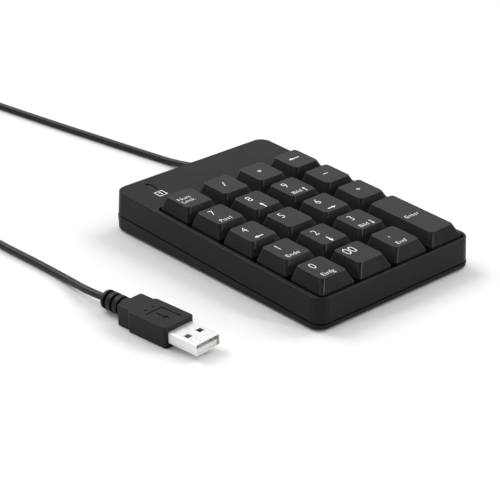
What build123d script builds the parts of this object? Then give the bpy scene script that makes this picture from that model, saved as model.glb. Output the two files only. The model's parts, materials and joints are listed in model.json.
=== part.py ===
"""A wired numeric keypad: a wedge-shaped case with nineteen sprung keys, a cord and a plug.

Millimetres.  +X is to the right, +Y towards the back edge that the cord leaves, +Z up.
The origin is on the desk, under the middle of the case.  The case is drawn level, in a frame
of its own whose zero height is the parting plane between its two covers, and is then tilted.
"""
from build123d import *
from math import cos, pi, radians, sin
import os

# ---------------------------------------------------------------- case
CASE_WIDTH = 81.4
CASE_LENGTH = 123.0
CASE_CORNER = 5.0
CASE_TILT = 2.03                # the keys rise towards the back
PARTING_HEIGHT = 4.86           # parting plane above the desk, at the middle of the case
FOOT_GAP = 0.6                  # underside of the case above the desk
RIM = 10.7                      # top of the upper cover above the parting plane
GROOVE_HEIGHT = 0.5             # shadow line between the covers
GROOVE_DEPTH = 0.5
COVER_STEP = 0.15               # the upper cover stands in from the lower one
RIM_INSET = 0.5
TOP_EDGE_RADIUS = 0.5
BASE_EDGE_RADIUS = 0.8
LOWER_DRAFT = 0.25
SIDE_WALL = 1.8
DECK_THICKNESS = 1.6

# ---------------------------------------------------------------- keys
PITCH = 19.05
COLUMNS = 4
ROWS = 5
CAP_BASE = 17.2
CAP_TOP_WIDTH = 12.2
CAP_TOP_DEPTH = 14.0
CAP_TOP_SHIFT = 1.05            # the sloped front face is longer than the back one
CAP_RISE = 5.2                  # cap top above the rim
CAP_SHOULDER = 0.3              # where the sloped faces begin, above the rim
CAP_SINK = 1.4                  # skirt below the rim
CAP_WALL = 1.2
CAP_BASE_RADIUS = 1.2
CAP_TOP_RADIUS = 1.5
CAP_EDGE_RADIUS = 0.35
KEY_TRAVEL = 3.0
WELL_GAP = 1.13
WELL_DEPTH = 4.8
WELL_FLOOR = 1.2
WELL_CORNER = 2.2
STEM = 5.6
STEM_HOLE = 5.95
STEM_REACH = 7.0                # lower end of the stem below the rim
HOOK_HEIGHT = 0.7
HOOK_REACH = 0.55
GUIDE_WALL = 1.2
GUIDE_HEIGHT = 3.6

KEY_NAMES = [
    ["key_0", "key_00", "key_decimal", None],
    ["key_1", "key_2", "key_3", None],
    ["key_4", "key_5", "key_6", "key_plus"],
    ["key_7", "key_8", "key_9", "key_minus"],
    ["key_num_lock", "key_divide", "key_multiply", "key_backspace"],
]
BLOCK_WIDTH = (COLUMNS - 1) * PITCH + CAP_BASE
BLOCK_DEPTH = (ROWS - 1) * PITCH + CAP_BASE
FRONT_MARGIN = 2.85
FIRST_ROW = -CASE_LENGTH / 2 + FRONT_MARGIN + CAP_BASE / 2
FIRST_COLUMN = -(COLUMNS - 1) / 2 * PITCH
WELL_FRONT = FIRST_ROW - CAP_BASE / 2 - WELL_GAP
WELL_BACK = FIRST_ROW - CAP_BASE / 2 + BLOCK_DEPTH + WELL_GAP
WELL_TOP = RIM - WELL_DEPTH     # upper face of the well's floor
WELL_UNDER = WELL_TOP - WELL_FLOOR
ENTER_X = FIRST_COLUMN + (COLUMNS - 1) * PITCH
ENTER_Y = FIRST_ROW + PITCH / 2

# ---------------------------------------------------------------- switch stack
SHEET_TOP = 0.3
SHEET_THICKNESS = 0.5
FOIL = 0.125
PLATE_THICKNESS = 0.425
SEAT = SHEET_TOP - SHEET_THICKNESS - 3 * FOIL - PLATE_THICKNESS
DOME_BASE = 5.2
DOME_TOP = 2.9
DOME_SKIN = 0.6
STACK_WIDTH = 74.6
STACK_FRONT = -57.6
STACK_BACK = 36.4
TAIL_WIDTH = 28.0
TAIL_END = 47.0

# ---------------------------------------------------------------- fasteners and feet
CASE_SCREWS = [(x, y) for x in (-PITCH, PITCH) for y in (FIRST_ROW + 1.5 * PITCH, FIRST_ROW + 3.5 * PITCH)]
CASE_SCREWS += [(-34.0, 55.0), (34.0, 55.0)]
BOSS_DIAMETER = 5.2
BOSS_CLEARANCE = 6.0
SCREW_DIAMETER = 2.5
SCREW_HEAD_DIAMETER = 4.6
SCREW_HEAD_HEIGHT = 1.3
SCREW_POCKET_DIAMETER = 5.2
SCREW_WEB = 1.0                 # lower cover left between a screw head and the seat
SCREW_GRIP = 4.6
FIT = 0.03
FOOT_DIAMETER = 9.0
FOOT_RECESS = 0.5
FOOT_PLACES = [(x, y) for x in (-31.0, 31.0) for y in (-50.5, 45.0)]

# ---------------------------------------------------------------- electronics
BOARD_FRONT = 39.4
BOARD_BACK = 56.6
BOARD_HALF_WIDTH = 31.0
BOARD_THICKNESS = 1.2
BOARD_BOTTOM = SHEET_TOP - SHEET_THICKNESS - 2 * FOIL
BOARD_TOP = BOARD_BOTTOM + BOARD_THICKNESS
CLAMP_Y = 43.0
CLAMP_LENGTH = 48.0
CLAMP_DEPTH = 4.4
CLAMP_HEIGHT = 1.0
BOARD_SCREWS = [(-20.0, CLAMP_Y, CLAMP_HEIGHT), (20.0, CLAMP_Y, CLAMP_HEIGHT), (2.0, 53.4, 0.0)]
BOARD_SCREW_DIAMETER = 1.9
BOARD_SCREW_LENGTH = 4.2
LED_X = -27.3
LED_Y = 53.0
LED_DIAMETER = 3.0
WINDOW_LENGTH = 7.0
WINDOW_WIDTH = 2.4
WINDOW_RECESS = 0.35

# ---------------------------------------------------------------- enter key's stabiliser
WIRE_RADIUS = 0.5
WIRE_ARM = 10.0
WIRE_SPAN = 31.0
WIRE_BEND = 1.2
WIRE_TURNED_END = 2.6
PIVOT_X = ENTER_X + 4.7
PIVOT_HEIGHT = 8.2

# ---------------------------------------------------------------- cord
CORD_DIAMETER = 3.0
CORD_X = 19.0
CORD_HEIGHT = 2.2               # middle of the cord above the parting plane, at the case
NECK = 4.4
FLANGE_WIDTH = 6.2
FLANGE_THICKNESS = 1.2
RELIEF_LENGTH = 8.0
RELIEF_ROOT = 5.2
RELIEF_TIP = 4.2
RELIEF_DROOP = 20.0             # how far the tail leans down from the parting plane's slope
COIL_X = -48.0
COIL_Y = 219.5
COIL_RADIUS = 16.5              # middle of the turns
COIL_COLUMNS = 3
COIL_LAYERS = 4
TIE_THICKNESS = 0.8
TIE_WIDTH = 8.0

# ---------------------------------------------------------------- plug
PLUG_X = -79.8
PLUG_Y = -45.4
PLUG_AXIS = 4.25
PLUG_TURN = 5.5
SHELL_WIDTH = 12.0
SHELL_HEIGHT = 4.5
SHELL_WALL = 0.3
SHELL_EXPOSED = 14.0
SHELL_HIDDEN = 5.0
GRIP_WIDTH = 14.6
GRIP_HEIGHT = 8.5
GRIP_LENGTH = 20.0
HEEL_WIDTH = 12.6
HEEL_LENGTH = 6.9
BOOT_DIAMETER = 7.6
BOOT_LENGTH = 13.1
BOOT_GROOVES = 3
MARK_DEPTH = 0.35
PLUG_LENGTH = SHELL_EXPOSED + GRIP_LENGTH + HEEL_LENGTH + BOOT_LENGTH

CASE = Location((0, 0, PARTING_HEIGHT), (CASE_TILT, 0, 0))
PLUG = Location((PLUG_X, PLUG_Y, PLUG_AXIS), (0, 0, PLUG_TURN))


def span_box(x0, x1, y0, y1, z0, z1):
    """A box between two corners."""
    return Pos((x0 + x1) / 2, (y0 + y1) / 2, (z0 + z1) / 2) * Box(x1 - x0, y1 - y0, z1 - z0)


def rounded_plate(width, depth, height, radius, x=0.0, y=0.0, z=0.0):
    """A plate with rounded corners that stands on height z."""
    return Pos(x, y, z) * extrude(RectangleRounded(width, depth, radius), height)


def rounded_loft(low, high):
    """A drafted block between two rounded rectangles: (width, depth, radius, y, z) each."""
    ends = [
        Pos(0, y, z) * RectangleRounded(width, depth, radius)
        for width, depth, radius, y, z in (low, high)
    ]
    return loft(ends)


def rod(x, y, z0, z1, diameter):
    """An upright cylinder between two heights."""
    return Pos(x, y, (z0 + z1) / 2) * Cylinder(diameter / 2, abs(z1 - z0))


def seat_height(y):
    """Height of the switch stack's seat above the case's flat underside."""
    return PARTING_HEIGHT + y * sin(radians(CASE_TILT)) + SEAT * cos(radians(CASE_TILT)) - FOOT_GAP


def key_places():
    """Name and middle of each single key."""
    return [
        (name, FIRST_COLUMN + column * PITCH, FIRST_ROW + row * PITCH)
        for row, names in enumerate(KEY_NAMES)
        for column, name in enumerate(names)
        if name
    ]


def dome_places():
    """Middle of each key's dome, the tall enter key's last."""
    return [(x, y) for _, x, y in key_places()] + [(ENTER_X, ENTER_Y)]


# ---------------------------------------------------------------- covers
def upper_cover():
    body = rounded_loft(
        (CASE_WIDTH - 2 * COVER_STEP, CASE_LENGTH - 2 * COVER_STEP, CASE_CORNER, 0, GROOVE_HEIGHT),
        (CASE_WIDTH - 2 * RIM_INSET, CASE_LENGTH - 2 * RIM_INSET, CASE_CORNER, 0, RIM),
    )
    body = fillet(body.faces().sort_by(Axis.Z)[-1].edges(), TOP_EDGE_RADIUS)
    body += rounded_plate(
        CASE_WIDTH - 2 * GROOVE_DEPTH - 2 * COVER_STEP,
        CASE_LENGTH - 2 * GROOVE_DEPTH - 2 * COVER_STEP,
        GROOVE_HEIGHT,
        CASE_CORNER - GROOVE_DEPTH,
    )
    well_depth = WELL_BACK - WELL_FRONT
    well_width = BLOCK_WIDTH + 2 * WELL_GAP
    body -= rounded_plate(
        well_width, well_depth, WELL_DEPTH + 1, WELL_CORNER, y=(WELL_FRONT + WELL_BACK) / 2, z=WELL_TOP
    )
    inner_width = CASE_WIDTH - 2 * SIDE_WALL - 0.6
    inner_length = CASE_LENGTH - 2 * SIDE_WALL - 0.6
    body -= rounded_plate(inner_width, inner_length, WELL_UNDER + 1, CASE_CORNER - SIDE_WALL, z=-1)
    bay_front = WELL_BACK + DECK_THICKNESS
    bay_back = inner_length / 2
    body -= rounded_plate(
        inner_width,
        bay_back - bay_front,
        RIM - DECK_THICKNESS + 1,
        CASE_CORNER - SIDE_WALL,
        y=(bay_front + bay_back) / 2,
        z=-1,
    )
    guides = [
        Pos(x, y, WELL_TOP + GUIDE_HEIGHT / 2) * Box(*(2 * [STEM_HOLE + 2 * GUIDE_WALL]), GUIDE_HEIGHT)
        for x, y in dome_places()
    ]
    holes = [Pos(x, y, WELL_TOP) * Box(STEM_HOLE, STEM_HOLE, 3 * GUIDE_HEIGHT) for x, y in dome_places()]
    body = body + guides - holes
    bosses = []
    for x, y in CASE_SCREWS:
        top = WELL_UNDER if y < WELL_BACK else RIM - DECK_THICKNESS
        bosses.append(rod(x, y, SEAT, top, BOSS_DIAMETER))
    body += bosses
    body -= [rod(x, y, SEAT - 1, SEAT + SCREW_GRIP, SCREW_DIAMETER + 2 * FIT) for x, y in CASE_SCREWS]
    body -= span_box(CORD_X - NECK / 2, CORD_X + NECK / 2, inner_length / 2 - 1, CASE_LENGTH, -1, NECK)
    body -= Pos(LED_X, LED_Y, RIM) * Rot(0, 0, 90) * extrude(
        SlotOverall(WINDOW_LENGTH, WINDOW_WIDTH), 2 * DECK_THICKNESS, both=True
    )
    body += wire_eyes()
    return body


def wire_eyes():
    """Two eyes on the well's floor that the stabiliser wire's turned ends rock in."""
    eyes = []
    for side in (-1, 1):
        y = ENTER_Y + side * (WIRE_SPAN / 2 - WIRE_TURNED_END + 0.4)
        post = span_box(PIVOT_X - 1.3, PIVOT_X + 1.3, y - 0.6, y + 0.6, WELL_TOP, PIVOT_HEIGHT + 1.3)
        bore = Pos(PIVOT_X, y, PIVOT_HEIGHT) * Rot(90, 0, 0) * Cylinder(WIRE_RADIUS + 0.05, 4)
        eyes.append(post - bore)
    return eyes


def lower_cover():
    """The wedge under the switch stack, with ribbed pockets, screw pockets and board posts."""
    depth = PARTING_HEIGHT + CASE_LENGTH / 2 * sin(radians(CASE_TILT)) + 1
    wedge = rounded_loft(
        (CASE_WIDTH - 2 * LOWER_DRAFT, CASE_LENGTH - 2 * LOWER_DRAFT, CASE_CORNER, 0, -depth),
        (CASE_WIDTH, CASE_LENGTH, CASE_CORNER, 0, 0),
    )
    wedge = CASE * wedge - span_box(-100, 100, -100, 100, -50, FOOT_GAP)
    wedge = fillet(wedge.faces().sort_by(Axis.Z)[0].edges(), BASE_EDGE_RADIUS)
    inner_width = CASE_WIDTH - 2 * SIDE_WALL
    inner_length = CASE_LENGTH - 2 * SIDE_WALL
    wedge -= CASE * rounded_plate(inner_width, inner_length, 3, CASE_CORNER - SIDE_WALL, z=SEAT)
    wedge -= rib_pockets()
    wedge += CASE * rounded_plate(
        TAIL_WIDTH + 4, CLAMP_DEPTH, 2.4, 0.5, y=CLAMP_Y, z=SEAT - 2.4
    )
    for x, y, _ in BOARD_SCREWS:
        post = CASE * rod(x, y, BOARD_BOTTOM - 4.2, BOARD_BOTTOM, 5.0)
        wedge += post
        bore = BOARD_SCREW_DIAMETER + 2 * FIT
        wedge -= CASE * rod(x, y, BOARD_BOTTOM - BOARD_SCREW_LENGTH, BOARD_BOTTOM + 1, bore)
    for x, y in CASE_SCREWS:
        height = seat_height(y)
        wedge += CASE * rod(x, y, SEAT - height + 0.8, SEAT, BOSS_DIAMETER + 3)
    for x, y in CASE_SCREWS:
        wedge -= CASE * rod(x, y, SEAT - 10, SEAT - SCREW_WEB, SCREW_POCKET_DIAMETER)
        wedge -= CASE * rod(x, y, SEAT - 10, SEAT + 1, SCREW_DIAMETER + 2 * FIT)
    wedge -= [
        Pos(x, y, FOOT_GAP) * Cylinder(FOOT_DIAMETER / 2, 2 * FOOT_RECESS)
        for x, y in FOOT_PLACES
    ]
    return wedge


def rib_pockets():
    """Hollows between the ribs that the backing plate and the board bay rest on."""
    floor = FOOT_GAP + 1.3
    half = CASE_WIDTH / 2 - SIDE_WALL
    rib = 0.75
    columns = [-half, -PITCH, 0.0, PITCH, half]
    rows = [FIRST_ROW + row * PITCH - PITCH / 2 for row in (2, 3, 4, 5)] + [CASE_LENGTH / 2 - SIDE_WALL]
    pockets = []
    for x0, x1 in zip(columns, columns[1:]):
        for y0, y1 in zip(rows, rows[1:]):
            cell = span_box(x0 + rib, x1 - rib, y0 + rib, y1 - rib, -10, SEAT)
            pockets.append(CASE * cell & span_box(-100, 100, -100, 100, floor, 50))
    return pockets


# ---------------------------------------------------------------- keys
def keycap(x, y, extra=0.0):
    """A one-piece cap with its stem and snap hooks; extra is added to its depth."""
    skirt = RIM - CAP_SINK
    shoulder = RIM + CAP_SHOULDER
    top = RIM + CAP_RISE
    body = rounded_loft(
        (CAP_BASE, CAP_BASE + extra, CAP_BASE_RADIUS, 0, shoulder),
        (CAP_TOP_WIDTH, CAP_TOP_DEPTH + extra, CAP_TOP_RADIUS, CAP_TOP_SHIFT, top),
    )
    body = fillet(body.faces().sort_by(Axis.Z)[-1].edges(), CAP_EDGE_RADIUS)
    body += rounded_plate(CAP_BASE, CAP_BASE + extra, shoulder - skirt, CAP_BASE_RADIUS, z=skirt)
    ceiling = top - CAP_WALL
    inner_base = CAP_BASE - 2 * CAP_WALL
    body -= rounded_plate(inner_base, inner_base + extra, shoulder - skirt + 1, 0.6, z=skirt - 1)
    body -= rounded_loft(
        (inner_base, inner_base + extra, 0.6, 0, shoulder),
        (CAP_TOP_WIDTH - 1.4, CAP_TOP_DEPTH - 1.4 + extra, 0.6, CAP_TOP_SHIFT, ceiling),
    )
    foot = RIM - STEM_REACH
    body += span_box(-STEM / 2, STEM / 2, -STEM / 2, STEM / 2, foot, ceiling)
    reach = STEM / 2 + HOOK_REACH
    body += span_box(-reach, reach, -1.2, 1.2, foot, foot + HOOK_HEIGHT)
    return Pos(x, y, 0) * body


def enter_key():
    """The tall key, with two clips that carry the stabiliser wire's long side."""
    cap = keycap(ENTER_X, ENTER_Y, PITCH)
    bar_x, bar_height = wire_bar()
    for side in (-1, 1):
        y = ENTER_Y + side * 11
        roof = RIM + CAP_RISE - CAP_WALL
        clip = span_box(bar_x - 1.5, bar_x + 1.6, y - 0.8, y + 0.8, bar_height - 0.6, roof)
        eye = Pos(bar_x, y, bar_height) * Rot(90, 0, 0) * Cylinder(WIRE_RADIUS + 0.35, 3)
        slot = span_box(bar_x - 0.45, bar_x + 0.45, y - 2, y + 2, bar_height - 2, bar_height)
        cap += clip - eye - slot
    return cap


# ---------------------------------------------------------------- stabiliser wire
def wire_bar():
    """Place and height of the wire's long side when the enter key is up."""
    rise = KEY_TRAVEL / 2
    return PIVOT_X - (WIRE_ARM ** 2 - rise ** 2) ** 0.5, PIVOT_HEIGHT + rise


def stabiliser_wire():
    bar_x, bar_height = wire_bar()
    end = WIRE_SPAN / 2
    inner = end - WIRE_TURNED_END
    path = FilletPolyline(
        (PIVOT_X, ENTER_Y - inner, PIVOT_HEIGHT),
        (PIVOT_X, ENTER_Y - end, PIVOT_HEIGHT),
        (bar_x, ENTER_Y - end, bar_height),
        (bar_x, ENTER_Y + end, bar_height),
        (PIVOT_X, ENTER_Y + end, PIVOT_HEIGHT),
        (PIVOT_X, ENTER_Y + inner, PIVOT_HEIGHT),
        radius=WIRE_BEND,
    )
    start = Plane(origin=path @ 0, z_dir=path % 0)
    return sweep(start * Circle(WIRE_RADIUS), path=path)


# ---------------------------------------------------------------- switch stack
def stack_layer(z, thickness, tail=False, hole=BOSS_CLEARANCE):
    """One flat layer of the stack, holed for the case's screw bosses."""
    depth = STACK_BACK - STACK_FRONT
    layer = rounded_plate(STACK_WIDTH, depth, thickness, 2.0, y=(STACK_FRONT + STACK_BACK) / 2, z=z)
    if tail:
        layer += span_box(-TAIL_WIDTH / 2, TAIL_WIDTH / 2, STACK_BACK - 1, TAIL_END, z, z + thickness)
    return layer - [rod(x, y, z - 1, z + thickness + 1, hole) for x, y in CASE_SCREWS if y < STACK_BACK]


def dome_sheet():
    """The rubber sheet: a dome with a plunger under each key."""
    base = SHEET_TOP - SHEET_THICKNESS
    top = RIM - STEM_REACH
    sheet = stack_layer(base, SHEET_THICKNESS)
    rise = top - SHEET_TOP
    for x, y in dome_places():
        outer = Pos(x, y, SHEET_TOP + rise / 2) * Cone(DOME_BASE, DOME_TOP, rise)
        hollow = rise + SHEET_THICKNESS - DOME_SKIN
        inner = Pos(x, y, base + hollow / 2) * Cone(DOME_BASE - DOME_SKIN, DOME_TOP - DOME_SKIN, hollow)
        plunger = rod(x, y, base + 1.2, top - DOME_SKIN / 2, 2.4)
        sheet = sheet + outer - inner + plunger
    return sheet


def spacer_foil(z):
    """The middle foil, open under each dome so that the two printed foils can touch."""
    foil = stack_layer(z, FOIL)
    return foil - [rod(x, y, z - 1, z + 1, 5.0) for x, y in dome_places()]


# ---------------------------------------------------------------- electronics
def controller_board():
    board = rounded_plate(
        2 * BOARD_HALF_WIDTH,
        BOARD_BACK - BOARD_FRONT,
        BOARD_THICKNESS,
        1.0,
        y=(BOARD_FRONT + BOARD_BACK) / 2,
        z=BOARD_BOTTOM,
    )
    clearance = BOARD_SCREW_DIAMETER + 0.3
    holes = [rod(x, y, BOARD_BOTTOM - 1, BOARD_TOP + 1, clearance) for x, y, _ in BOARD_SCREWS]
    return board - holes


def clamp_bar():
    bar = rounded_plate(CLAMP_LENGTH, CLAMP_DEPTH, CLAMP_HEIGHT, 0.8, y=CLAMP_Y, z=BOARD_TOP)
    clearance = BOARD_SCREW_DIAMETER + 0.3
    holes = [rod(x, CLAMP_Y, BOARD_TOP - 1, BOARD_TOP + 3, clearance) for x in (-20.0, 20.0)]
    return bar - holes


def pressure_pad():
    """The rubber strip that presses the foil's tail against the board."""
    return rounded_plate(TAIL_WIDTH, CLAMP_DEPTH - 0.6, PLATE_THICKNESS, 0.5, y=CLAMP_Y, z=SEAT)


def controller_chip():
    chip = Pos(-12, 51, BOARD_TOP + 1.0) * Box(10.0, 4.0, 1.5)
    legs = []
    for side in (-1, 1):
        for number in range(8):
            x = -12 + (number - 3.5) * 1.27
            y = 51 + side * 2.5
            legs.append(span_box(x - 0.2, x + 0.2, y - 0.6, y + 0.6, BOARD_TOP, BOARD_TOP + 0.5))
    return Compound(chip.solids() + [leg.solid() for leg in legs])


def capacitors():
    """A can capacitor and four chip capacitors."""
    parts = [rod(10.0, 50.0, BOARD_TOP, BOARD_TOP + 5.4, 4.0)]
    for x in (-3.6, 3.6, 6.2, 27.4):
        parts.append(Pos(x, 48.4, BOARD_TOP + 0.4) * Box(1.2, 2.0, 0.8))
    return Compound([part.solid() for part in parts])


def indicator_led():
    height = 5.0
    body = rod(LED_X, LED_Y, BOARD_TOP, BOARD_TOP + height - LED_DIAMETER / 2, LED_DIAMETER)
    body += rod(LED_X, LED_Y, BOARD_TOP, BOARD_TOP + 1.0, LED_DIAMETER + 0.8)
    dome = Pos(LED_X, LED_Y, BOARD_TOP + height - LED_DIAMETER / 2) * Sphere(LED_DIAMETER / 2)
    return body + dome


def light_guide():
    """The clear window in the deck, with a collar under it and a stalk down to the lamp."""
    collar_top = RIM - DECK_THICKNESS
    turn = Pos(LED_X, LED_Y, 0) * Rot(0, 0, 90)
    window = turn * Pos(0, 0, collar_top) * extrude(
        SlotOverall(WINDOW_LENGTH - 0.04, WINDOW_WIDTH - 0.04), DECK_THICKNESS - WINDOW_RECESS
    )
    collar = turn * rounded_plate(WINDOW_LENGTH + 1.6, WINDOW_WIDTH + 1.6, 1.0, 0.8, z=collar_top - 1.0)
    stalk = rod(LED_X, LED_Y, BOARD_TOP + 5.3, collar_top, 3.4)
    return window + collar + stalk


def cord_header():
    """The small connector on the board that the cord's wires run into."""
    shell = span_box(CORD_X - 5.2, CORD_X + 5.2, 46.4, 51.0, BOARD_TOP, BOARD_TOP + 4.6)
    shell -= span_box(CORD_X - 4.4, CORD_X + 4.4, 47.0, 49.4, BOARD_TOP + 1.2, BOARD_TOP + 6)
    return shell


def cord_wires():
    """Four wires between the strain relief's inner face and the header."""
    inner_face = (CASE_LENGTH - 2 * SIDE_WALL - 0.6) / 2 - FLANGE_THICKNESS
    wires = []
    for number in range(4):
        x = CORD_X + (number - 1.5) * 1.0
        place = Pos(x, (51.0 + inner_face) / 2, CORD_HEIGHT) * Rot(90, 0, 0)
        wires.append(place * Cylinder(0.4, inner_face - 51.0))
    return Compound([wire.solid() for wire in wires])


# ---------------------------------------------------------------- fasteners and feet
def screw(x, y, bearing, head_diameter, head_height, shank_diameter, length, direction):
    """A pan-head screw with a cross recess; direction is +1 when it is driven upwards."""
    head = rod(x, y, bearing - direction * head_height, bearing, head_diameter)
    shank = rod(x, y, bearing, bearing + direction * length, shank_diameter)
    face = bearing - direction * head_height
    slot = head_diameter * 0.5
    recess = Pos(x, y, face) * Box(slot, 0.6, 1.0) + Pos(x, y, face) * Box(0.6, slot, 1.0)
    return (head + shank - recess).solid()


def case_screws():
    bearing = SEAT - SCREW_WEB
    length = SCREW_WEB + SCREW_GRIP - 0.4
    return Compound([
        screw(x, y, bearing, SCREW_HEAD_DIAMETER, SCREW_HEAD_HEIGHT, SCREW_DIAMETER, length, 1)
        for x, y in CASE_SCREWS
    ])


def board_screws():
    return Compound([
        screw(x, y, BOARD_TOP + lift, 3.8, 1.2, BOARD_SCREW_DIAMETER, BOARD_THICKNESS + lift + 2.6, -1)
        for x, y, lift in BOARD_SCREWS
    ])


def rubber_feet():
    height = FOOT_GAP + FOOT_RECESS
    feet = []
    for x, y in FOOT_PLACES:
        foot = rod(x, y, 0, height, FOOT_DIAMETER)
        feet.append(fillet(foot.faces().sort_by(Axis.Z)[0].edges(), 0.25).solid())
    return Compound(feet)


# ---------------------------------------------------------------- cord
def strain_relief():
    """The moulded grommet that the back wall holds, with its ribbed, tapered tail."""
    inner = (CASE_LENGTH - 2 * SIDE_WALL - 0.6) / 2
    outer = CASE_LENGTH / 2 + 0.05
    half = FLANGE_WIDTH / 2
    left, right = CORD_X - half, CORD_X + half
    high = CORD_HEIGHT + half
    body = span_box(left, right, inner - FLANGE_THICKNESS, inner, CORD_HEIGHT - half, high)
    body += span_box(CORD_X - NECK / 2, CORD_X + NECK / 2, inner, outer, 0, NECK)
    body += span_box(left, right, outer, outer + FLANGE_THICKNESS, 0.05, high)
    axis = Pos(CORD_X, outer + FLANGE_THICKNESS / 2, CORD_HEIGHT) * Rot(-90 - RELIEF_DROOP, 0, 0)
    tail = axis * Pos(0, 0, RELIEF_LENGTH / 2) * Cone(RELIEF_ROOT / 2, RELIEF_TIP / 2, RELIEF_LENGTH)
    for number in range(2):
        place = 2.6 + number * 2.4
        ring = Cylinder(RELIEF_ROOT, 1.0) - Cylinder(RELIEF_TIP / 2 - 0.1, 1.0)
        tail -= axis * Pos(0, 0, place + 0.5) * ring
    tail &= span_box(left, right, outer, outer + 2 * RELIEF_LENGTH, -half * 2, half * 2)
    return body + tail


def relief_end():
    """Middle of the strain relief's outer end, and the way that it points, on the desk's frame."""
    droop = radians(RELIEF_DROOP)
    y = CASE_LENGTH / 2 + 0.05 + FLANGE_THICKNESS / 2 + RELIEF_LENGTH * cos(droop)
    end = CASE * Location((CORD_X, y, CORD_HEIGHT - RELIEF_LENGTH * sin(droop)))
    slope = radians(CASE_TILT) - droop
    return end.position, Vector(0, cos(slope), sin(slope))


def boot_end():
    """Middle of the plug boot's outer end, and the way that it points."""
    end = PLUG * Location((0, PLUG_LENGTH, 0))
    return end.position, Vector(-sin(radians(PLUG_TURN)), cos(radians(PLUG_TURN)), 0)


def bend_radii(points):
    """Radius of each corner's arc: 0.45 of the shorter run over the tangent of half the turn."""
    radii = []
    for before, corner, after in zip(points, points[1:], points[2:]):
        first = (Vector(*corner) - Vector(*before))
        second = (Vector(*after) - Vector(*corner))
        half_turn = radians(first.get_angle(second)) / 2
        radii.append(0.45 * min(first.length, second.length) * cos(half_turn) / sin(half_turn))
    return radii


def cord_tube(name, points):
    """A plain tube along straight runs joined by arcs; its radii and length are printed."""
    radii = bend_radii(points)
    path = FilletPolyline(*points, radius=radii)
    tube = sweep(Plane(origin=path @ 0, z_dir=path % 0) * Circle(CORD_DIAMETER / 2), path=path)
    section = pi * CORD_DIAMETER ** 2 / 4
    print(name, "radii", [round(radius, 1) for radius in radii])
    print(name, "length", round(path.length, 1), "volume / section", round(tube.volume / section, 1))
    return tube


def cord_from_keypad():
    start, way = relief_end()
    rest = CORD_DIAMETER / 2
    landing = start + way * ((rest - start.Z) / way.Z)
    points = [
        tuple(start),
        tuple(landing),
        (13.6, 118.0, rest),
        (9.6, 143.0, rest),
        (5.2, 170.0, rest),
        (0.2, 204.0, rest),
        (-4.0, COIL_Y + COIL_RADIUS + CORD_DIAMETER, rest),
        (COIL_X + 12.0, COIL_Y + COIL_RADIUS + CORD_DIAMETER, rest + TIE_THICKNESS),
    ]
    return cord_tube("cord_from_keypad", points)


def cord_to_plug():
    start, way = boot_end()
    rest = CORD_DIAMETER / 2
    first = start + way * 9
    points = [
        tuple(start),
        (first.X, first.Y, PLUG_AXIS - 0.6),
        (-83.4, 35.0, rest),
        (-83.9, 56.0, rest),
        (-85.3, 80.0, rest),
        (-84.0, 108.0, rest),
        (-76.0, 143.0, rest),
        (-68.5, 172.0, 4.0),
        (COIL_X - COIL_RADIUS, COIL_Y - 18.0, 9.0),
    ]
    return cord_tube("cord_to_plug", points)


def cord_coil():
    """The outer shape of the wound cord, which lies on its tie."""
    half = COIL_COLUMNS * CORD_DIAMETER / 2
    ring = Cylinder(COIL_RADIUS + half, COIL_LAYERS * CORD_DIAMETER) - Cylinder(
        COIL_RADIUS - half, COIL_LAYERS * CORD_DIAMETER
    )
    return Pos(COIL_X, COIL_Y, TIE_THICKNESS + COIL_LAYERS * CORD_DIAMETER / 2) * ring


def cord_tie():
    """A strap round one side of the coil."""
    reach = COIL_COLUMNS * CORD_DIAMETER / 2 + TIE_THICKNESS
    height = COIL_LAYERS * CORD_DIAMETER + 2 * TIE_THICKNESS
    middle = COIL_X + COIL_RADIUS
    strap = span_box(
        middle - reach - 0.6, middle + reach, COIL_Y - TIE_WIDTH / 2, COIL_Y + TIE_WIDTH / 2, 0, height
    )
    strap = fillet(strap.edges().filter_by(Axis.Y), 0.6)
    return strap - cord_coil()


# ---------------------------------------------------------------- plug
def plug_shell():
    """The folded metal shell, with two latch windows in each wide side."""
    length = SHELL_EXPOSED + SHELL_HIDDEN
    outer = RectangleRounded(SHELL_WIDTH, SHELL_HEIGHT, 0.5)
    inner = RectangleRounded(SHELL_WIDTH - 2 * SHELL_WALL, SHELL_HEIGHT - 2 * SHELL_WALL, 0.3)
    tube = Rot(-90, 0, 0) * extrude(outer - inner, length)
    windows = [Pos(side * 3.0, 6.9, 0) * Box(2.5, 2.5, 6) for side in (-1, 1)]
    dimple = Pos(0, 9.8, SHELL_HEIGHT / 2) * Cylinder(0.6, 0.3)
    return tube - windows - dimple


def plug_tongue():
    """The insulating block along the shell's lower side, grooved for four contacts."""
    floor = -SHELL_HEIGHT / 2 + SHELL_WALL
    width = SHELL_WIDTH - 2 * SHELL_WALL - 0.7
    block = span_box(-width / 2, width / 2, 0.6, SHELL_EXPOSED + 3, floor, floor + 1.9)
    back = span_box(-width / 2, width / 2, 11.6, SHELL_EXPOSED + 3, floor, -floor)
    return block + back - contact_strips(0.0)


def contact_strips(shorter):
    """Four flat strips let into the tongue's upper face; the outer two reach further forward."""
    top = -SHELL_HEIGHT / 2 + SHELL_WALL + 1.9
    strips = []
    for x, start in ((-3.5, 1.4), (-1.0, 2.4), (1.0, 2.4), (3.5, 1.4)):
        strips.append(span_box(x - 0.5, x + 0.5, start, 11.6 - shorter, top - 0.25, top))
    return strips


def plug_contacts():
    return Compound([strip.solid() for strip in contact_strips(0.05)])


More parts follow.
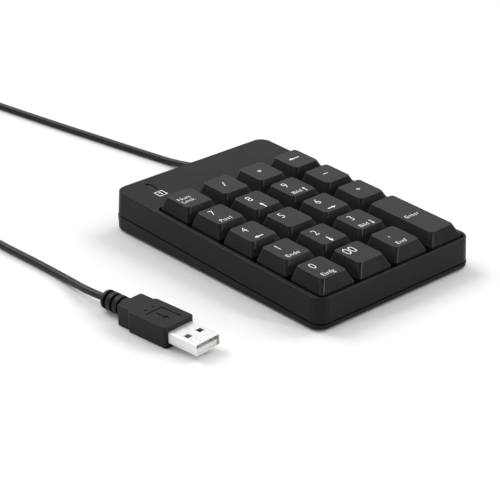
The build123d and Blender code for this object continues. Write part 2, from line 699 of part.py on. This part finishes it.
def plug_overmould():
    """The moulded grip, its narrower heel, and the grooved boot that the cord leaves."""
    start = SHELL_EXPOSED
    half = GRIP_HEIGHT / 2
    grip = span_box(-GRIP_WIDTH / 2, GRIP_WIDTH / 2, start, start + GRIP_LENGTH, -half, half)
    grip = fillet(grip.edges().filter_by(Axis.Z), 1.3)
    heel_end = start + GRIP_LENGTH + HEEL_LENGTH
    heel = span_box(-HEEL_WIDTH / 2, HEEL_WIDTH / 2, start + 4, heel_end, -half, half)
    heel = fillet(heel.edges().filter_by(Axis.Z), 1.3)
    body = grip + heel
    flats = body.faces().sort_by(Axis.Z)
    body = fillet(flats[-1].edges() + flats[0].edges(), 0.5)
    axis = Pos(0, heel_end, 0) * Rot(-90, 0, 0)
    boot = axis * Pos(0, 0, (BOOT_LENGTH - 1) / 2 - 0.5) * Cylinder(BOOT_DIAMETER / 2, BOOT_LENGTH + 1)
    boot = fillet(boot.faces().sort_by(Axis.Y)[-1].edges(), 1.5)
    for number in range(BOOT_GROOVES):
        place = 1.8 + number * 3.6
        ring = Cylinder(BOOT_DIAMETER, 1.5) - Cylinder(BOOT_DIAMETER / 2 - 1.0, 1.5)
        boot -= axis * Pos(0, 0, place + 0.75) * ring
    body += boot
    cavity = SHELL_EXPOSED + SHELL_HIDDEN
    body -= span_box(
        -SHELL_WIDTH / 2, SHELL_WIDTH / 2, start - 1, cavity, -SHELL_HEIGHT / 2, SHELL_HEIGHT / 2
    )
    return body - grip_marks()


def grip_marks():
    """Shallow marks in the grip's upper face: an angled line, two dots and a plain arrow."""
    high = GRIP_HEIGHT / 2 + 1
    low = GRIP_HEIGHT / 2 - MARK_DEPTH
    marks = [
        span_box(-4.5, 3.8, 26.7, 27.3, low, high),
        span_box(3.2, 3.8, 17.0, 27.3, low, high),
        span_box(-1.2, -0.6, 20.4, 25.0, low, high),
    ]
    marks += [rod(x, 29.4, low, high, 1.0) for x in (-2.3, 1.8)]
    marks.append(Pos(0, 0, low) * extrude(Polygon((-2.3, 20.8), (-0.9, 18.2), (0.5, 20.8), align=None), 2))
    return marks


# ---------------------------------------------------------------- the whole
def case_nodes():
    """Everything drawn in the case's level frame."""
    base = SHEET_TOP - SHEET_THICKNESS
    nodes = {
        "upper_cover": upper_cover(),
        "key_enter": enter_key(),
        "enter_stabiliser_wire": stabiliser_wire(),
        "dome_sheet": dome_sheet(),
        "membrane_top_foil": stack_layer(base - FOIL, FOIL),
        "membrane_spacer_foil": spacer_foil(base - 2 * FOIL),
        "membrane_bottom_foil": stack_layer(base - 3 * FOIL, FOIL, tail=True),
        "backing_plate": stack_layer(SEAT, PLATE_THICKNESS),
        "controller_board": controller_board(),
        "tail_clamp_bar": clamp_bar(),
        "tail_pressure_pad": pressure_pad(),
        "controller_chip": controller_chip(),
        "board_capacitors": capacitors(),
        "num_lock_led": indicator_led(),
        "led_light_guide": light_guide(),
        "cord_header": cord_header(),
        "cord_wires": cord_wires(),
        "case_screws": case_screws(),
        "board_screws": board_screws(),
        "cord_strain_relief": strain_relief(),
    }
    for name, x, y in key_places():
        nodes[name] = keycap(x, y)
    return {name: CASE * shape for name, shape in nodes.items()}


def all_nodes():
    nodes = case_nodes()
    nodes["lower_cover"] = lower_cover()
    nodes["rubber_feet"] = rubber_feet()
    nodes["cord_from_keypad"] = cord_from_keypad()
    nodes["cord_to_plug"] = cord_to_plug()
    nodes["cord_coil"] = cord_coil()
    nodes["cord_tie"] = cord_tie()
    plug = {
        "plug_shell": plug_shell(),
        "plug_tongue": plug_tongue(),
        "plug_contacts": plug_contacts(),
        "plug_overmould": plug_overmould(),
    }
    nodes.update({name: PLUG * shape for name, shape in plug.items()})
    return nodes


os.makedirs("parts", exist_ok=True)
for node, shape in all_nodes().items():
    export_step(shape, f"parts/{node}.step")
    print(node, "solids", len(shape.solids()), "volume", round(shape.volume, 1))
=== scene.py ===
"""The looks of the wired numeric keypad: materials, key legends, the cord, light and camera."""
import json
import math

import bmesh
import bpy
from mathutils import Matrix, Vector

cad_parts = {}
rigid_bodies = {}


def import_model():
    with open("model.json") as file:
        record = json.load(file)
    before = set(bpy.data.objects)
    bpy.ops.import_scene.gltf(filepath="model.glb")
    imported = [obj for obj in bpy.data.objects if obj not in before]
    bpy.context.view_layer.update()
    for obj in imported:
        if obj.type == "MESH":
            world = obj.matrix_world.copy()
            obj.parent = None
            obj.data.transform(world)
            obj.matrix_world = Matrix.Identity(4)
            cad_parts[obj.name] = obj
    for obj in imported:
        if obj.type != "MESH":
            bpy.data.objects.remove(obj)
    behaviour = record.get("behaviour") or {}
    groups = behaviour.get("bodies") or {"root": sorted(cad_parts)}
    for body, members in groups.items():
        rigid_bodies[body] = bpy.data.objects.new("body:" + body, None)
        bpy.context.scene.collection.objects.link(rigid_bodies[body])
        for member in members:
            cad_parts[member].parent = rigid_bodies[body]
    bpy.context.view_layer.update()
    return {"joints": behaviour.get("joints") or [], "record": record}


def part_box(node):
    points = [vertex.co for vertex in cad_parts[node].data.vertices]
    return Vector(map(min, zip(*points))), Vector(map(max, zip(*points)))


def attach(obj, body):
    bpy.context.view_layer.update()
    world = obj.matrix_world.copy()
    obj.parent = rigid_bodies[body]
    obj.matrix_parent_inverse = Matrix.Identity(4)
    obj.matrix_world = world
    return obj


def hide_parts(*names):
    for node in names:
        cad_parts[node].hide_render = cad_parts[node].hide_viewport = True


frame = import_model()

MM = 0.001
WHITE_INK = (0.86, 0.87, 0.87, 1.0)
INK_THICKNESS = 0.03 * MM
CAPITAL_HEIGHT = 0.72           # over the font's size
OUTLINE_STEP = 0.02             # each further outline of a print is thicker, so no two tops coincide

# ---------------------------------------------------------------- cord and its route, in millimetres
CORD_DIAMETER = 3.0
ROUTE_FROM_KEYPAD = [
    (19.0, 69.6, 6.8),
    (19.0, 86.0, 1.5),
    (13.6, 118.0, 1.5),
    (9.6, 143.0, 1.5),
    (5.2, 170.0, 1.5),
    (0.2, 204.0, 1.5),
    (-4.0, 239.0, 1.5),
    (-36.0, 239.0, 2.3),
]
ROUTE_TO_PLUG = [
    (-64.5, 201.5, 9.0),
    (-68.5, 172.0, 4.0),
    (-76.0, 143.0, 1.5),
    (-84.0, 108.0, 1.5),
    (-85.3, 80.0, 1.5),
    (-83.9, 56.0, 1.5),
    (-83.4, 35.0, 1.5),
    (-85.8, 17.3, 3.7),
    (-84.98, 8.35, 4.25),
]
COIL_X = -48.0
COIL_Y = 219.5
COIL_RADIUS = 16.5
COIL_BOTTOM = 2.3
COIL_COLUMNS = 3
COIL_TURNS_PER_COLUMN = 3
POINTS_PER_TURN = 16


def add_object(name, data):
    """A new object in the scene, with that data."""
    thing = bpy.data.objects.new(name, data)
    bpy.context.scene.collection.objects.link(thing)
    return thing


# ---------------------------------------------------------------- materials
NOISE_LOW = 0.3                 # most of a noise texture's values lie between these
NOISE_HIGH = 0.7


def node_material(name):
    """A new material with its tree, shader and the object's own coordinates."""
    material = bpy.data.materials.new(name)
    material.use_nodes = True
    tree = material.node_tree
    shader = tree.nodes["Principled BSDF"]
    place = tree.nodes.new("ShaderNodeTexCoord").outputs["Object"]
    return material, tree, shader, place


def noise(tree, place, scale, detail=3.0, roughness=0.5):
    """The factor of a noise texture over the object's own coordinates."""
    texture = tree.nodes.new("ShaderNodeTexNoise")
    texture.inputs["Scale"].default_value = scale
    texture.inputs["Detail"].default_value = detail
    texture.inputs["Roughness"].default_value = roughness
    tree.links.new(place, texture.inputs["Vector"])
    return texture.outputs["Fac"]


def ramp(tree, factor, low, high, start=NOISE_LOW, end=NOISE_HIGH):
    """A two-stop colour ramp over a factor."""
    colours = tree.nodes.new("ShaderNodeValToRGB")
    colours.color_ramp.elements[0].position = start
    colours.color_ramp.elements[1].position = end
    colours.color_ramp.elements[0].color = low
    colours.color_ramp.elements[1].color = high
    tree.links.new(factor, colours.inputs["Fac"])
    return colours.outputs["Color"]


def spread(tree, factor, low, high):
    """A factor's middle part stretched to a range of values."""
    stretch = tree.nodes.new("ShaderNodeMapRange")
    stretch.inputs["From Min"].default_value = NOISE_LOW
    stretch.inputs["From Max"].default_value = NOISE_HIGH
    stretch.inputs["To Min"].default_value = low
    stretch.inputs["To Max"].default_value = high
    tree.links.new(factor, stretch.inputs["Value"])
    return stretch.outputs["Result"]


def bump(tree, shader, height, strength, distance):
    """A shader's surface roughened by a factor."""
    node = tree.nodes.new("ShaderNodeBump")
    node.inputs["Strength"].default_value = strength
    node.inputs["Distance"].default_value = distance
    tree.links.new(height, node.inputs["Height"])
    tree.links.new(node.outputs["Normal"], shader.inputs["Normal"])


def grey(value, tint=0.0):
    """A linear grey, with that much more blue."""
    return (value, value, value * (1 + tint), 1.0)


def scaled(colour, factor):
    """A colour with its three channels multiplied by the factor."""
    return (colour[0] * factor, colour[1] * factor, colour[2] * factor, 1.0)


def textured_plastic(name, shade, roughness, grain=2600.0, depth=0.00004, strength=0.55, shine=0.2):
    """Moulded plastic with a fine spark-eroded grain and slight handling shine."""
    material, tree, shader, place = node_material(name)
    fine = noise(tree, place, grain, 2.0, 0.6)
    broad = noise(tree, place, 45.0, 4.0, 0.55)
    colour = ramp(tree, broad, grey(shade * 0.9, 0.03), grey(shade * 1.1, 0.02))
    speckle = ramp(tree, fine, grey(0.86), grey(1.1))
    mix = tree.nodes.new("ShaderNodeMix")
    mix.data_type = "RGBA"
    mix.blend_type = "MULTIPLY"
    mix.inputs["Factor"].default_value = 1.0
    tree.links.new(colour, mix.inputs["A"])
    tree.links.new(speckle, mix.inputs["B"])
    tree.links.new(mix.outputs["Result"], shader.inputs["Base Color"])
    tree.links.new(spread(tree, broad, roughness - 0.05, roughness + 0.06), shader.inputs["Roughness"])
    shader.inputs["Specular IOR Level"].default_value = shine
    bump(tree, shader, fine, strength, depth)
    return material


def smooth_plastic(name, shade, roughness, tint=(1.0, 1.0, 1.0)):
    """Moulded plastic with a faint flow pattern and fine scuffs."""
    material, tree, shader, place = node_material(name)
    flow = noise(tree, place, 120.0, 4.0)
    scuffs = noise(tree, place, 1500.0, 2.0)
    colour = ramp(tree, flow, scaled(tint, shade * 0.93), scaled(tint, shade * 1.05))
    tree.links.new(colour, shader.inputs["Base Color"])
    tree.links.new(spread(tree, flow, roughness - 0.04, roughness + 0.05), shader.inputs["Roughness"])
    bump(tree, shader, scuffs, 0.25, 0.00002)
    return material


def rubber(name, shade, roughness):
    """A soft jacket or moulding with a dull bloom."""
    material, tree, shader, place = node_material(name)
    bloom = noise(tree, place, 260.0, 5.0, 0.6)
    grain = noise(tree, place, 3200.0, 2.0)
    tree.links.new(ramp(tree, bloom, grey(shade * 0.8), grey(shade * 1.25)), shader.inputs["Base Color"])
    tree.links.new(spread(tree, bloom, roughness - 0.06, roughness + 0.06), shader.inputs["Roughness"])
    shader.inputs["Specular IOR Level"].default_value = 0.25
    bump(tree, shader, grain, 0.4, 0.00003)
    return material


def metal(name, colour, roughness, brushing=900.0, bare=1.0):
    """Plated or brushed metal with fine lines along one way and light handling marks."""
    material, tree, shader, place = node_material(name)
    shader.inputs["Metallic"].default_value = bare
    stretch = tree.nodes.new("ShaderNodeMapping")
    stretch.inputs["Scale"].default_value = (1.0, 0.08, 1.0)
    tree.links.new(place, stretch.inputs["Vector"])
    lines = noise(tree, stretch.outputs["Vector"], brushing, 3.0)
    smudges = noise(tree, place, 300.0, 4.0)
    tree.links.new(ramp(tree, smudges, scaled(colour, 0.9), (*colour, 1.0)), shader.inputs["Base Color"])
    tree.links.new(spread(tree, lines, roughness * 0.8, roughness * 1.3), shader.inputs["Roughness"])
    bump(tree, shader, lines, 0.15, 0.00002)
    return material


def lens(name):
    """The smoky indicator window."""
    material, tree, shader, place = node_material(name)
    haze = noise(tree, place, 600.0, 2.0)
    tree.links.new(ramp(tree, haze, grey(0.008), grey(0.013)), shader.inputs["Base Color"])
    tree.links.new(spread(tree, haze, 0.32, 0.42), shader.inputs["Roughness"])
    shader.inputs["Specular IOR Level"].default_value = 0.2
    return material


def silicone(name):
    """Cloudy, slightly translucent moulded silicone."""
    material, tree, shader, place = node_material(name)
    cloud = noise(tree, place, 200.0, 3.0)
    tree.links.new(ramp(tree, cloud, grey(0.45), grey(0.6)), shader.inputs["Base Color"])
    tree.links.new(spread(tree, cloud, 0.5, 0.62), shader.inputs["Roughness"])
    shader.inputs["Subsurface Weight"].default_value = 0.2
    bump(tree, shader, cloud, 0.15, 0.00002)
    return material


def board(name):
    """Green solder mask over faint copper tracks."""
    material, tree, shader, place = node_material(name)
    tracks = tree.nodes.new("ShaderNodeTexBrick")
    tracks.inputs["Scale"].default_value = 160.0
    tracks.inputs["Color1"].default_value = (0.012, 0.12, 0.03, 1.0)
    tracks.inputs["Color2"].default_value = (0.014, 0.15, 0.04, 1.0)
    tracks.inputs["Mortar"].default_value = (0.03, 0.22, 0.07, 1.0)
    tree.links.new(place, tracks.inputs["Vector"])
    tree.links.new(tracks.outputs["Color"], shader.inputs["Base Color"])
    tree.links.new(spread(tree, noise(tree, place, 500.0), 0.25, 0.36), shader.inputs["Roughness"])
    bump(tree, shader, tracks.outputs["Fac"], 0.2, 0.00003)
    return material


def ink(name):
    """White pad-printed ink, a little thin in places."""
    material, tree, shader, place = node_material(name)
    patches = noise(tree, place, 2400.0, 3.0)
    tree.links.new(ramp(tree, patches, scaled(WHITE_INK, 0.82), WHITE_INK), shader.inputs["Base Color"])
    tree.links.new(spread(tree, patches, 0.45, 0.6), shader.inputs["Roughness"])
    bump(tree, shader, patches, 0.2, 0.00001)
    return material


def floor_material():
    """A matt white ground that is barely mottled."""
    material, tree, shader, place = node_material("pale_floor")
    mottle = noise(tree, place, 8.0, 4.0)
    tree.links.new(ramp(tree, mottle, grey(0.82), grey(0.84)), shader.inputs["Base Color"])
    shader.inputs["Roughness"].default_value = 0.75
    shader.inputs["Specular IOR Level"].default_value = 0.1
    return material


def slot_materials():
    """One material for each of the record's slots."""
    return {
        "case_plastic": textured_plastic("case_charcoal", 0.009, 0.42, shine=0.13),
        "key_plastic": textured_plastic("key_charcoal", 0.0175, 0.26, 2900.0, 0.00002, 0.3, 0.16),
        "silicone": silicone("dome_silicone"),
        "foil": smooth_plastic("polyester_foil", 0.62, 0.22),
        "plate_steel": metal("sheet_steel", (0.56, 0.56, 0.57), 0.32),
        "board_laminate": board("solder_mask"),
        "chip_plastic": smooth_plastic("chip_black", 0.02, 0.45),
        "clear_lens": lens("smoky_window"),
        "header_plastic": smooth_plastic("off_white_moulding", 0.72, 0.35, (1.0, 0.99, 0.95)),
        "cord_jacket": rubber("cord_jacket", 0.008, 0.45),
        "screw_steel": metal("plated_screw", (0.7, 0.7, 0.69), 0.22),
        "foot_rubber": rubber("foot_rubber", 0.03, 0.7),
        "plug_plastic": textured_plastic("plug_charcoal", 0.009, 0.5, 2200.0, 0.00003, 0.4),
        "plug_metal": metal("nickel_plate", (0.9, 0.9, 0.885), 0.3, 700.0, 0.6),
        "contact_gold": metal("gold_plate", (0.85, 0.62, 0.26), 0.2),
    }


def dress_cad_nodes():
    """Each CAD node gets the material of its slot."""
    materials = slot_materials()
    for part in frame["record"]["subparts"]:
        mesh = bpy.data.objects[part["node"]].data
        mesh.materials.clear()
        mesh.materials.append(materials[part["material_slot"]])
    return materials


# ---------------------------------------------------------------- flat printed shapes
ARROW_OVERLAP = 0.1             # how far an arrow's shaft runs into its head, in millimetres


def stroke(points, width):
    """One outline for each run of a line of that width, with square ends; lengths in millimetres."""
    outlines = []
    for start, end in zip(points, points[1:]):
        run = Vector((end[0] - start[0], end[1] - start[1]))
        side = Vector((-run.y, run.x)).normalized() * width / 2
        a, b = Vector(start), Vector(end)
        outlines.append([a - side, b - side, b + side, a + side])
    return outlines


def arrow(turn, length=4.2, width=0.55, head=1.7):
    """A solid arrow that points along +X, turned by an angle in degrees."""
    tip = length / 2
    neck = tip - head
    shapes = stroke([(-tip, 0), (neck + ARROW_OVERLAP, 0)], width)
    shapes.append([Vector((neck, -head * 0.5)), Vector((tip, 0)), Vector((neck, head * 0.5))])
    angle = math.radians(turn)
    turned = []
    for outline in shapes:
        turned.append([Vector((p.x * math.cos(angle) - p.y * math.sin(angle),
                               p.x * math.sin(angle) + p.y * math.cos(angle))) for p in outline])
    return turned


def asterisk(reach=1.0, width=0.3):
    """Three crossed strokes."""
    shapes = []
    for step in range(3):
        angle = math.radians(90 + 60 * step)
        end = (reach * math.cos(angle), reach * math.sin(angle))
        shapes += stroke([(-end[0], -end[1]), end], width)
    return shapes


def square_sign(side=4.2, width=0.42):
    """A square outline with a stroke figure one inside it."""
    half = side / 2 - width / 2
    reach = half + width / 2
    shapes = []
    for a, b in (((-reach, -half), (reach, -half)), ((-reach, half), (reach, half))):
        shapes += stroke([a, b], width)
    for x in (-half, half):
        shapes += stroke([(x, -half + width / 2), (x, half - width / 2)], width)
    shapes += stroke([(0.15, -1.1), (0.15, 1.15)], width)
    shapes += stroke([(-0.65, 0.45), (0.0, 1.05)], width * 0.9)
    return shapes


def print_shapes(name, shapes, place, body, material):
    """A thin raised print of flat outlines, on a plane given by a matrix in metres."""
    mesh = bpy.data.meshes.new(name)
    work = bmesh.new()
    for number, outline in enumerate(shapes):
        lift = INK_THICKNESS * (1 + OUTLINE_STEP * number)
        low = [work.verts.new((p.x * MM, p.y * MM, -INK_THICKNESS)) for p in outline]
        high = [work.verts.new((p.x * MM, p.y * MM, lift)) for p in outline]
        work.faces.new(high)
        work.faces.new(low[::-1])
        count = len(outline)
        for index in range(count):
            after = (index + 1) % count
            work.faces.new((low[index], low[after], high[after], high[index]))
    bmesh.ops.recalc_face_normals(work, faces=work.faces)
    work.to_mesh(mesh)
    work.free()
    finish_print(name, mesh, place, body, material)


def print_text(name, text, height, place, body, material, stretch, weight):
    """The same for words and figures, from a text object's own outlines, stretched sideways."""
    curve = bpy.data.curves.new(name + "_outline", "FONT")
    curve.body = text
    curve.size = height / CAPITAL_HEIGHT * MM
    curve.align_x = "CENTER"
    curve.align_y = "CENTER"
    curve.extrude = INK_THICKNESS
    curve.offset = weight * MM
    curve.space_line = LINE_SPACING
    holder = add_object(name + "_outline", curve)
    bpy.context.view_layer.update()
    mesh = bpy.data.meshes.new_from_object(holder.evaluated_get(bpy.context.evaluated_depsgraph_get()))
    bpy.data.objects.remove(holder)
    mesh.transform(Matrix.Diagonal((stretch, 1.0, 1.0, 1.0)))
    mesh.name = name
    finish_print(name, mesh, place, body, material)


def finish_print(name, mesh, place, body, material):
    """Puts a printed mesh in its place, on its body and in its ink."""
    mesh.materials.clear()
    mesh.materials.append(material)
    mesh.transform(place)
    piece = add_object(name, mesh)
    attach(piece, body)


# ---------------------------------------------------------------- key legends, in millimetres
FIGURE_HEIGHT = 4.1
DOUBLE_FIGURE_HEIGHT = 4.7
WORD_HEIGHT = 2.2
FIGURE_THIN = -0.075            # taken off every side of a stroke
WORD_THIN = -0.025
FIGURE_STRETCH = 0.85           # a letter's width over the font's own
WORD_STRETCH = 1.08
NUM_LOCK_STRETCH = 1.05
ENTER_STRETCH = 1.1
LINE_SPACING = 0.92             # over the font's own
PAGE_ARROW = (3.5, 0.42, 1.3)   # length, width and head

# places on a key's top, from the middle of the key: to the right, to the back
FIGURE_AT = (-1.9, 3.5)
WORD_AT = (-0.9, -3.6)
SIGN_AT = (-0.6, 1.5)
NUM_LOCK_AT = (-2.0, 0.4)
ENTER_AT = (-0.9, -0.2)
PAGE_WORD_SHIFT = -1.0          # the word and the arrow that share a line
PAGE_ARROW_SHIFT = 3.2
SIGN_FROM_WINDOW = (-0.8, -7.2)

FIGURES = {
    "key_0": "0", "key_1": "1", "key_2": "2", "key_3": "3", "key_4": "4", "key_5": "5",
    "key_6": "6", "key_7": "7", "key_8": "8", "key_9": "9", "key_00": "00", "key_decimal": ",",
}
WORDS = {
    "key_0": "Einfg", "key_1": "Ende", "key_3": "Bild", "key_7": "Pos1", "key_9": "Bild",
    "key_decimal": "Entf",
}
ARROWS = {"key_2": -90, "key_4": 180, "key_6": 0, "key_8": 90}
PAGE_ARROWS = {"key_3": -90, "key_9": 90}


def case_axes():
    """The deck's ways right, back and up, from the way that the keys travel."""
    joint = next(j for j in frame["joints"] if j["name"] == "key_5_press")
    up = -Vector(joint["axis"]).normalized()
    right = Vector((1, 0, 0))
    return right, up.cross(right), up


def top_plane(node):
    """A matrix on a node's top face: its origin over the middle of the node, X right, Y back, Z up."""
    axes = case_axes()
    reach = []
    for axis in axes:
        along = [vertex.co.dot(axis) for vertex in bpy.data.objects[node].data.vertices]
        reach.append((min(along), max(along)))
    right, back, up = axes
    origin = right * sum(reach[0]) / 2 + back * sum(reach[1]) / 2 + up * reach[2][1]
    return Matrix.Translation(origin) @ Matrix((right, back, up)).transposed().to_4x4()


def at(plane, x, y):
    """A plane moved within itself, in millimetres."""
    return plane @ Matrix.Translation((x * MM, y * MM, 0))


def key_legends(material):
    """What is printed on the figure keys, then on the others."""
    for key, text in FIGURES.items():
        height = DOUBLE_FIGURE_HEIGHT if key == "key_00" else FIGURE_HEIGHT
        place = at(top_plane(key), *FIGURE_AT)
        body = key + "_body"
        print_text(key + "_figure", text, height, place, body, material, FIGURE_STRETCH, FIGURE_THIN)
    for key, text in WORDS.items():
        shift = PAGE_WORD_SHIFT if key in PAGE_ARROWS else 0.0
        place = at(top_plane(key), WORD_AT[0] + shift, WORD_AT[1])
        body = key + "_body"
        print_text(key + "_word", text, WORD_HEIGHT, place, body, material, WORD_STRETCH, WORD_THIN)
    for key, turn in ARROWS.items():
        print_shapes(key + "_arrow", arrow(turn), at(top_plane(key), *WORD_AT), key + "_body", material)
    for key, turn in PAGE_ARROWS.items():
        place = at(top_plane(key), WORD_AT[0] + PAGE_ARROW_SHIFT, WORD_AT[1])
        print_shapes(key + "_arrow", arrow(turn, *PAGE_ARROW), place, key + "_body", material)
    sign_legends(material)


def sign_legends(material):
    """The keys with one sign in the middle, and those with words alone."""
    signs = {
        "key_divide": stroke([(-0.6, -1.6), (0.6, 1.6)], 0.42),
        "key_multiply": asterisk(),
        "key_minus": stroke([(-1.2, 0), (1.2, 0)], 0.4),
        "key_plus": stroke([(-1.0, 0), (1.0, 0)], 0.36) + stroke([(0, -1.0), (0, 1.0)], 0.36),
        "key_backspace": arrow(180, 5.6, 0.55, 1.8),
    }
    for key, shapes in signs.items():
        print_shapes(key + "_sign", shapes, at(top_plane(key), *SIGN_AT), key + "_body", material)
    worded = {
        "key_num_lock": ("Num\nLock", NUM_LOCK_AT, NUM_LOCK_STRETCH),
        "key_enter": ("Enter", ENTER_AT, ENTER_STRETCH),
    }
    for key, (text, offset, stretch) in worded.items():
        place = at(top_plane(key), *offset)
        body = key + "_body"
        print_text(key + "_word", text, WORD_HEIGHT, place, body, material, stretch, WORD_THIN)


def deck_sign(material):
    """The small square sign in front of the indicator window."""
    low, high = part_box("led_light_guide")
    deck = top_plane("upper_cover")
    middle = deck.inverted() @ ((low + high) / 2)
    aside, ahead = SIGN_FROM_WINDOW
    place = deck @ Matrix.Translation((middle.x + aside * MM, middle.y + ahead * MM, 0))
    print_shapes("num_lock_sign", square_sign(), place, "case", material)


# ---------------------------------------------------------------- cord
def coil_points():
    """Columns of turns, the outermost first, then the end laid over the top."""
    radius = COIL_RADIUS + CORD_DIAMETER
    height = COIL_BOTTOM
    angle = 90.0
    step = 360.0 / POINTS_PER_TURN
    rise = CORD_DIAMETER / POINTS_PER_TURN
    quarter = POINTS_PER_TURN // 4
    points = []

    def place():
        turn = math.radians(angle)
        points.append((COIL_X + radius * math.cos(turn), COIL_Y + radius * math.sin(turn), height))

    place()
    for column in range(COIL_COLUMNS):
        way = 1 if column % 2 == 0 else -1
        for _ in range(COIL_TURNS_PER_COLUMN * POINTS_PER_TURN):
            angle += step
            height += way * rise
            place()
        if column < COIL_COLUMNS - 1:
            for _ in range(quarter):
                angle += step
                radius -= CORD_DIAMETER / quarter
                place()
    over = 3 * quarter
    for index in range(over):
        angle += step
        radius += CORD_DIAMETER / over
        height += 2 * CORD_DIAMETER / over if index < over // 2 else 0
        place()
    return points


def cord(material):
    """The whole cord as one smooth line."""
    points = ROUTE_FROM_KEYPAD + coil_points() + ROUTE_TO_PLUG
    curve = bpy.data.curves.new("cord", "CURVE")
    curve.dimensions = "3D"
    curve.bevel_depth = CORD_DIAMETER / 2 * MM
    curve.bevel_resolution = 6
    curve.resolution_u = 8
    curve.use_fill_caps = True
    spline = curve.splines.new("NURBS")
    spline.points.add(len(points) - 1)
    for control, point in zip(spline.points, points):
        control.co = (point[0] * MM, point[1] * MM, point[2] * MM, 1.0)
    spline.order_u = 3
    spline.use_endpoint_u = True
    curve.materials.append(material)
    piece = add_object("cord", curve)
    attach(piece, "case")
    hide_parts("cord_from_keypad", "cord_coil", "cord_to_plug")


# ---------------------------------------------------------------- stage, light and camera, in metres
CAMERA_AZIMUTH = -40.74
CAMERA_ELEVATION = 26.25
CAMERA_ROLL = -0.99
CAMERA_DISTANCE = 0.7015
CAMERA_TARGET = (-0.0131, 0.0082, 0.0)
CAMERA_LENS = 126.54            # millimetres, on a sensor of this width
SENSOR_WIDTH = 36.0
CAMERA_NEAR = 0.01
TENT_BRIGHT_WAY = (0.42, 0.49, 0.76)
TENT_BRIGHT = 0.88
TENT_DIM = 0.10
TENT_FADE = (0.0, 0.9)          # the cosine to the bright way at the dim end and at the bright end
FLOOR_REACH = 3.0               # from the middle to each side
SOFTBOXES = {                   # the way to each, how wide it looks in degrees, its strength
    "back_softbox": ((-0.10, 0.72, 0.70), 38.0, 1.6),
    "right_softbox": ((0.76, -0.12, 0.64), 40.0, 1.25),
}
STRIP_SIZE = (0.035, 0.40)
STRIP_TARGET = (0, 0, 0.01)
STRIPS = {                      # the place and power of each
    "left_strip": ((-0.88, 0.17, 0.28), 1.7),
    "right_strip": ((0.30, -0.85, 0.28), 2.9),
}


def set_camera():
    """A camera that looks at its target from an azimuth off the front, rolled about its own way."""
    azimuth, elevation, roll = (math.radians(v) for v in (CAMERA_AZIMUTH, CAMERA_ELEVATION, CAMERA_ROLL))
    back = Vector((
        math.sin(azimuth) * math.cos(elevation),
        -math.cos(azimuth) * math.cos(elevation),
        math.sin(elevation),
    ))
    right = Vector((0, 0, 1)).cross(back).normalized()
    up = back.cross(right)
    turned = right * math.cos(roll) + up * math.sin(roll)
    upright = up * math.cos(roll) - right * math.sin(roll)
    data = bpy.data.cameras.new("camera")
    data.lens = CAMERA_LENS
    data.sensor_width = SENSOR_WIDTH
    data.clip_start = CAMERA_NEAR
    camera = add_object("camera", data)
    place = Vector(CAMERA_TARGET) + back * CAMERA_DISTANCE
    camera.matrix_world = Matrix.Translation(place) @ Matrix((turned, upright, back)).transposed().to_4x4()
    bpy.context.scene.camera = camera


def strip_light(name, place, power):
    """A narrow upright strip, which lights one of the near walls."""
    data = bpy.data.lights.new(name, "AREA")
    data.shape = "RECTANGLE"
    data.size, data.size_y = STRIP_SIZE
    data.energy = power
    lamp = add_object(name, data)
    way = Vector(place) - Vector(STRIP_TARGET)
    lamp.matrix_world = Matrix.Translation(place) @ way.to_track_quat("Z", "Y").to_matrix().to_4x4()


def broad_light(name, way, spread_angle, strength):
    """A far, wide softbox: even over the floor, with soft-edged shadows."""
    data = bpy.data.lights.new(name, "SUN")
    data.angle = math.radians(spread_angle)
    data.energy = strength
    lamp = add_object(name, data)
    lamp.matrix_world = Vector(way).to_track_quat("Z", "Y").to_matrix().to_4x4()


def studio_world():
    """A white tent, brightest high at the back right and dimmer towards the front."""
    world = bpy.data.worlds.new("studio")
    world.use_nodes = True
    tree = world.node_tree
    way = tree.nodes.new("ShaderNodeTexCoord").outputs["Generated"]
    facing = tree.nodes.new("ShaderNodeVectorMath")
    facing.operation = "DOT_PRODUCT"
    facing.inputs[1].default_value = TENT_BRIGHT_WAY
    tree.links.new(way, facing.inputs[0])
    shade = ramp(tree, facing.outputs["Value"], grey(TENT_DIM), grey(TENT_BRIGHT), *TENT_FADE)
    tree.links.new(shade, tree.nodes["Background"].inputs["Color"])
    return world


def set_stage():
    """The floor, the tent and the four lamps."""
    mesh = bpy.data.meshes.new("floor")
    reach = FLOOR_REACH
    corners = [(-reach, -reach, 0), (reach, -reach, 0), (reach, reach, 0), (-reach, reach, 0)]
    mesh.from_pydata(corners, [], [(0, 1, 2, 3)])
    mesh.materials.append(floor_material())
    floor = add_object("floor", mesh)
    bpy.context.scene.world = studio_world()
    for name, (way, spread_angle, strength) in SOFTBOXES.items():
        broad_light(name, way, spread_angle, strength)
    for name, (place, power) in STRIPS.items():
        strip_light(name, place, power)
    bpy.context.scene.view_settings.view_transform = "Standard"


def main():
    """Dresses the CAD nodes, adds the prints and the cord, then the stage."""
    materials = dress_cad_nodes()
    legend_ink = ink("legend_ink")
    key_legends(legend_ink)
    deck_sign(legend_ink)
    cord(materials["cord_jacket"])
    set_stage()
    set_camera()


main()
